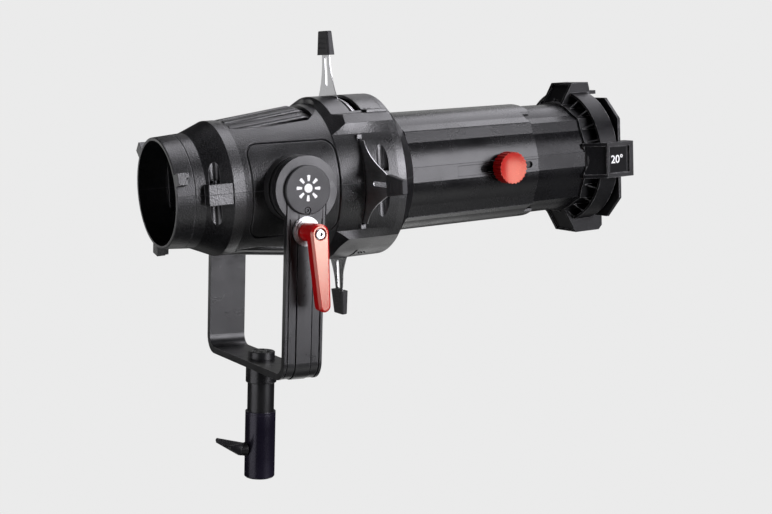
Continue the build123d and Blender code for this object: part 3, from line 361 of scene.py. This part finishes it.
def coated_glass(name):
    """Coated optical glass, with a trace of dust."""
    made = Recipe(name)
    dust = made.noise(1 / DUST_SIZE, 5)
    tone = made.blend(made.span(dust, 0.55, 0.8), (0.93, 0.97, 0.98), (0.80, 0.84, 0.88))
    return made.finish({"Base Color": tone, "Roughness": made.span(dust, 0.5, 0.8, 0.02, 0.12),
                        "Normal": made.bump(dust, 0.03, 0.02 * MM), "IOR": 1.52,
                        "Transmission Weight": 1.0, "Coat Weight": 0.4})


# ------------------------------------------------------------------ what each CAD node is made of
def dress(material, *names):
    """Gives a material to CAD nodes, in place of the one they came with."""
    for name in names:
        NODES[name].data.materials.clear()
        NODES[name].data.materials.append(material)


def dress_housing():
    """Speckled black castings and the turned discs that they pivot on."""
    shell = coating("shell_black", grey(0.002, 0.0005), 0.35, grain=0.7, grain_size=1.5 * MM,
                    fleck=grey(0.022, 0.002), edge_wear_and_highlight=grey(0.22, 0.01), edge_wear_and_highlight_strength=0.55, edge=1.1 * MM,
                    specular=0.95)
    dress(shell, "upper_shell", "lower_shell", "slot_cover")
    disc = coating("disc_black", grey(0.006, 0.0005), 0.45, grain=0.7, grain_size=1.2 * MM,
                   fleck=grey(0.03), specular=0.75)
    dress(disc, "near_trunnion_disc", "far_trunnion_disc")


def dress_barrel():
    """Smooth black sleeve and nose, and the holder at the front with its plate and colour frame."""
    sleeve = coating("sleeve_black", grey(0.003, 0.0005), 0.25, grain=0.45, grain_size=1.3 * MM,
                     mottle_size=60 * MM, fleck=grey(0.014, 0.002), specular=0.36)
    dress(sleeve, "barrel_sleeve")
    nose = coating("nose_black", grey(0.003, 0.0005), 0.27, grain=0.45, grain_size=1.3 * MM,
                   fleck=grey(0.012, 0.002), specular=0.16)
    dress(nose, "nose_tube")
    holder = coating("holder_black", grey(0.004, 0.0005), 0.40, grain=0.7, grain_size=1.4 * MM,
                     fleck=grey(0.012, 0.002), edge_wear_and_highlight=grey(0.46), edge_wear_and_highlight_strength=0.9, edge=1.0 * MM, specular=0.18)
    dress(holder, "front_holder", "frame_latch")
    plate = coating("angle_plate_black", grey(0.003, 0.0005), 0.38, grain=0.3, grain_size=0.4 * MM,
                    specular=0.05)
    dress(plate, "angle_plate")
    frame_black = coating("frame_black", grey(0.005, 0.0005), 0.42, grain=0.4, edge_wear_and_highlight=grey(0.5), edge_wear_and_highlight_strength=0.8,
                          edge=0.5 * MM)
    dress(frame_black, "colour_frame")


def dress_yoke():
    """Powder-coated strap, moulded caps, black stem and a faintly purple anodised receiver."""
    cap = coating("cap_black", grey(0.024, 0.001), 0.50, grain=0.6, grain_size=0.6 * MM, mottle=0.1)
    dress(cap, "near_arm_cap", "far_arm_cap")
    strap = coating("yoke_black", grey(0.010, 0.0005), 0.33, grain=0.35, grain_size=0.7 * MM, mottle=0.35,
                    mottle_size=22 * MM, edge_wear_and_highlight=grey(0.3, 0.01), edge_wear_and_highlight_strength=0.55)
    dress(strap, "yoke", "clamp_block")
    stem = coating("stem_black", grey(0.008, 0.0005), 0.30, grain=0.3, grain_size=0.5 * MM, edge=0.6 * MM)
    dress(stem, "stem_bolt", "stem_collar", "stem_spigot", "wing_screw")
    receiver = coating("receiver_anodised", (0.013, 0.011, 0.021), 0.27, grain=0.25, grain_size=0.5 * MM,
                       edge_wear_and_highlight=(0.12, 0.11, 0.16), metallic=0.35)
    dress(receiver, "stem_receiver", "stem_ring")


def dress_screws_and_cells():
    oxide = coating("screw_black", grey(0.012, 0.001), 0.32, grain=0.3, grain_size=0.4 * MM, edge=0.25 * MM,
                    metallic=0.5)
    dress(oxide, "shell_screws", "cover_screws", "cap_screws", "gate_screws", "holder_screws", "latch_pin",
          "condenser_cell", "condenser_retainers", "objective_rings")


def dress_rubber():
    rubber = coating("grip_rubber", grey(0.014, 0.001), 0.55, grain=0.6, grain_size=0.5 * MM, mottle=0.2,
                     edge_wear_and_highlight=grey(0.06), edge=0.8 * MM)
    dress(rubber, "near_shutter_grip", "far_shutter_grip", "top_shutter_grip", "bottom_shutter_grip",
          "friction_washers")


def dress_red_controls():
    """The clamp lever and the focus knob, whose rounded edges are painted a paler red as a painted
    highlight.
    """
    # The paler red edge colour given here is a painted highlight on the lever's rounded edges.
    lever = coating("red_anodised", (0.50, 0.002, 0.005), 0.20, grain=0.15, mottle=0.08,
                    mottle_size=30 * MM, edge_wear_and_highlight=(0.75, 0.02, 0.015), edge_wear_and_highlight_strength=0.9, edge=1.0 * MM, spread=0.02,
                    ior=2.2, tint=(0.70, 0.78, 0.62))
    dress(lever, "clamp_lever")
    # The paler red edge colour given here is a painted highlight on the knob's rim and edges.
    knob = coating("red_knob", (0.40, 0.004, 0.005), 0.24, grain=0.2, mottle=0.08,
                   mottle_size=30 * MM, edge_wear_and_highlight=(0.8, 0.12, 0.10), edge_wear_and_highlight_strength=0.9, edge=0.9 * MM, spread=0.03,
                   ior=1.6, tint=(1, 0.60, 0.42))
    dress(knob, "focus_knob")


def dress_blades_and_gate():
    """Steel sheet, scratched the way that each blade slides."""
    upright = brushed("blade_steel_upright", grey(0.60, 0.01), 0.22, (0, 0, 1))
    dress(upright, "top_shutter_blade", "bottom_shutter_blade")
    sideways = brushed("blade_steel_sideways", grey(0.60, 0.01), 0.34, (0, 1, 0))
    dress(sideways, "near_shutter_blade", "far_shutter_blade", "gate_front_plate", "pattern_slot_plate",
          "gate_rear_plate", "shutter_separators", "gate_spacers")


def dress_plated_parts():
    plating = brushed("bright_plating", grey(0.50), 0.30, (0, 0, 1), dark=0.8)
    dress(plating, "clamp_washers", "lever_screw", "clamp_stud", "trunnion_bolts", "focus_stud")
    return plating


def dress_brass():
    brass = brushed("machined_brass", (0.72, 0.52, 0.24), 0.28, (1, 0, 0))
    dress(brass, "trunnion_bushes", "focus_nut")


def dress_lenses():
    dress(coated_glass("lens_glass"), "condenser_rear_lens", "condenser_front_lens", "objective_rear_lens",
          "objective_front_lens")


# ------------------------------------------------------------------ lever spring
COIL_WIRE_RADIUS = 0.5 * MM
COIL_TURNS = 4
COIL_STEPS = 28


def coil_mesh(low, high):
    """A round wire wound about Y, which fills the box between two corners."""
    centre = (low + high) / 2
    radius = (high.x - low.x) / 2 - COIL_WIRE_RADIUS
    count = COIL_TURNS * COIL_STEPS
    rise = (high.y - low.y - 2 * COIL_WIRE_RADIUS) / count
    curve = bpy.data.curves.new("lever_coil", "CURVE")
    curve.dimensions = "3D"
    curve.bevel_depth = COIL_WIRE_RADIUS
    curve.use_fill_caps = True
    line = curve.splines.new("POLY")
    line.points.add(count)
    for index, point in enumerate(line.points):
        turn = math.tau * index / COIL_STEPS
        point.co = (centre.x + radius * math.cos(turn), low.y + COIL_WIRE_RADIUS + rise * index,
                    centre.z + radius * math.sin(turn), 1)
    path = bpy.data.objects.new("lever_coil_path", curve)
    bpy.context.collection.objects.link(path)
    mesh = bpy.data.meshes.new_from_object(path.evaluated_get(bpy.context.evaluated_depsgraph_get()))
    bpy.data.objects.remove(path)
    return mesh


def add_lever_spring(material):
    """The lever's return spring as a real coil, carried with the clamp screw."""
    low, high = (Vector(corner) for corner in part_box("lever_spring"))
    mesh = coil_mesh(low, high)
    mesh.materials.clear()
    mesh.materials.append(material)
    coil = bpy.data.objects.new("lever_coil", mesh)
    bpy.context.collection.objects.link(coil)
    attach(coil, "clamp_screw")
    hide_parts("lever_spring")
    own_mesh(coil)


# ------------------------------------------------------------------ printed marks
PRINT_THICKNESS = 0.15 * MM
PRINT_SUNK = 0.13 * MM
SYMBOL_LIFT = 2 * MM
SYMBOL_DISC_RADIUS = 5.2 * MM
SYMBOL_DISC_STEPS = 40
SYMBOL_RAYS = 8
RAY_START, RAY_SHOULDER, RAY_TIP = 8.0 * MM, 14.5 * MM, 15.2 * MM
RAY_ROOT_HALF, RAY_END_HALF = 1.3 * MM, 2.1 * MM

BEAM_ANGLE = "20°"
TEXT_SIZE = 14.5 * MM
TEXT_HALF_THICKNESS = 0.07 * MM
TEXT_THICKENING = 0.25 * MM
TEXT_SHIFT = 1.5 * MM
TEXT_GAP = 0.03 * MM

STAND_UP = Matrix.Rotation(math.radians(90), 4, "X")
ABOUT_FACE = Matrix.Rotation(math.radians(180), 4, "Z")


def printed_white():
    return coating("printed_white", grey(0.82), 0.5, grain=0.4, grain_size=0.5 * MM, mottle=0.05,
                   edge_wear_and_highlight=grey(0.6))


def raised_mark(name, outlines, turn, place, material):
    """A thin raised mark from flat outlines, turned to its face and set in place."""
    body = bmesh.new()
    for outline in outlines:
        low = [body.verts.new((x, y, 0)) for x, y in outline]
        high = [body.verts.new((x, y, PRINT_THICKNESS)) for x, y in outline]
        body.faces.new(low[::-1])
        body.faces.new(high)
        for index in range(len(outline)):
            after = (index + 1) % len(outline)
            body.faces.new((low[index], low[after], high[after], high[index]))
    mesh = bpy.data.meshes.new(name)
    body.to_mesh(mesh)
    body.free()
    mesh.transform(Matrix.Translation(place) @ turn)
    mesh.materials.append(material)
    made = bpy.data.objects.new(name, mesh)
    bpy.context.collection.objects.link(made)
    return made


def lamp_symbol():
    """Flat outlines of a plain light symbol: a round lamp with tapered rays."""
    turns = [math.tau * step / SYMBOL_DISC_STEPS for step in range(SYMBOL_DISC_STEPS)]
    disc = [(SYMBOL_DISC_RADIUS * math.cos(turn), SYMBOL_DISC_RADIUS * math.sin(turn)) for turn in turns]
    outlines = [disc]
    ray = ((RAY_START, -RAY_ROOT_HALF), (RAY_SHOULDER, -RAY_END_HALF), (RAY_TIP, 0),
           (RAY_SHOULDER, RAY_END_HALF), (RAY_START, RAY_ROOT_HALF))
    for index in range(SYMBOL_RAYS):
        turn = math.tau * index / SYMBOL_RAYS
        along = Vector((math.cos(turn), math.sin(turn)))
        across = Vector((-along.y, along.x))
        outlines.append([tuple(along * reach + across * half) for reach, half in ray])
    return outlines


def add_cap_marks(white):
    """The light symbol on the outer face of both arm caps."""
    for side, corner, outward, facing in (("near", 0, -1, STAND_UP), ("far", 1, 1, ABOUT_FACE @ STAND_UP)):
        face_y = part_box(side + "_arm_cap")[corner][1]
        place = Vector((TILT_CENTRE.x, face_y - outward * PRINT_SUNK, TILT_CENTRE.z + SYMBOL_LIFT))
        mark = raised_mark(side + "_cap_mark", lamp_symbol(), facing, place, white)
        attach(mark, "yoke")


def add_angle_mark(white):
    """The beam angle in degrees, printed on the side plate of the front holder."""
    text = bpy.data.curves.new("angle_mark", "FONT")
    text.body = BEAM_ANGLE
    text.size = TEXT_SIZE
    text.align_x = "CENTER"
    text.align_y = "CENTER"
    text.extrude = TEXT_HALF_THICKNESS
    text.offset = TEXT_THICKENING
    text.materials.append(white)
    mark = bpy.data.objects.new("angle_mark", text)
    bpy.context.collection.objects.link(mark)
    low, high = (Vector(corner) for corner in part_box("angle_plate"))
    centre = (low + high) / 2
    lean = math.atan2(LIGHT_WAY.z, LIGHT_WAY.x)
    place = Matrix.Translation((centre.x - TEXT_SHIFT, low.y - TEXT_GAP, centre.z))
    mark.matrix_world = place @ Matrix.Rotation(-lean, 4, "Y") @ STAND_UP
    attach(mark, "lens_carriage")


make_camera()
make_studio()

dress_housing()
dress_barrel()
dress_yoke()
dress_screws_and_cells()
dress_rubber()
dress_red_controls()
dress_blades_and_gate()
dress_brass()
dress_lenses()
add_lever_spring(dress_plated_parts())

white_print = printed_white()
add_cap_marks(white_print)
add_angle_mark(white_print)
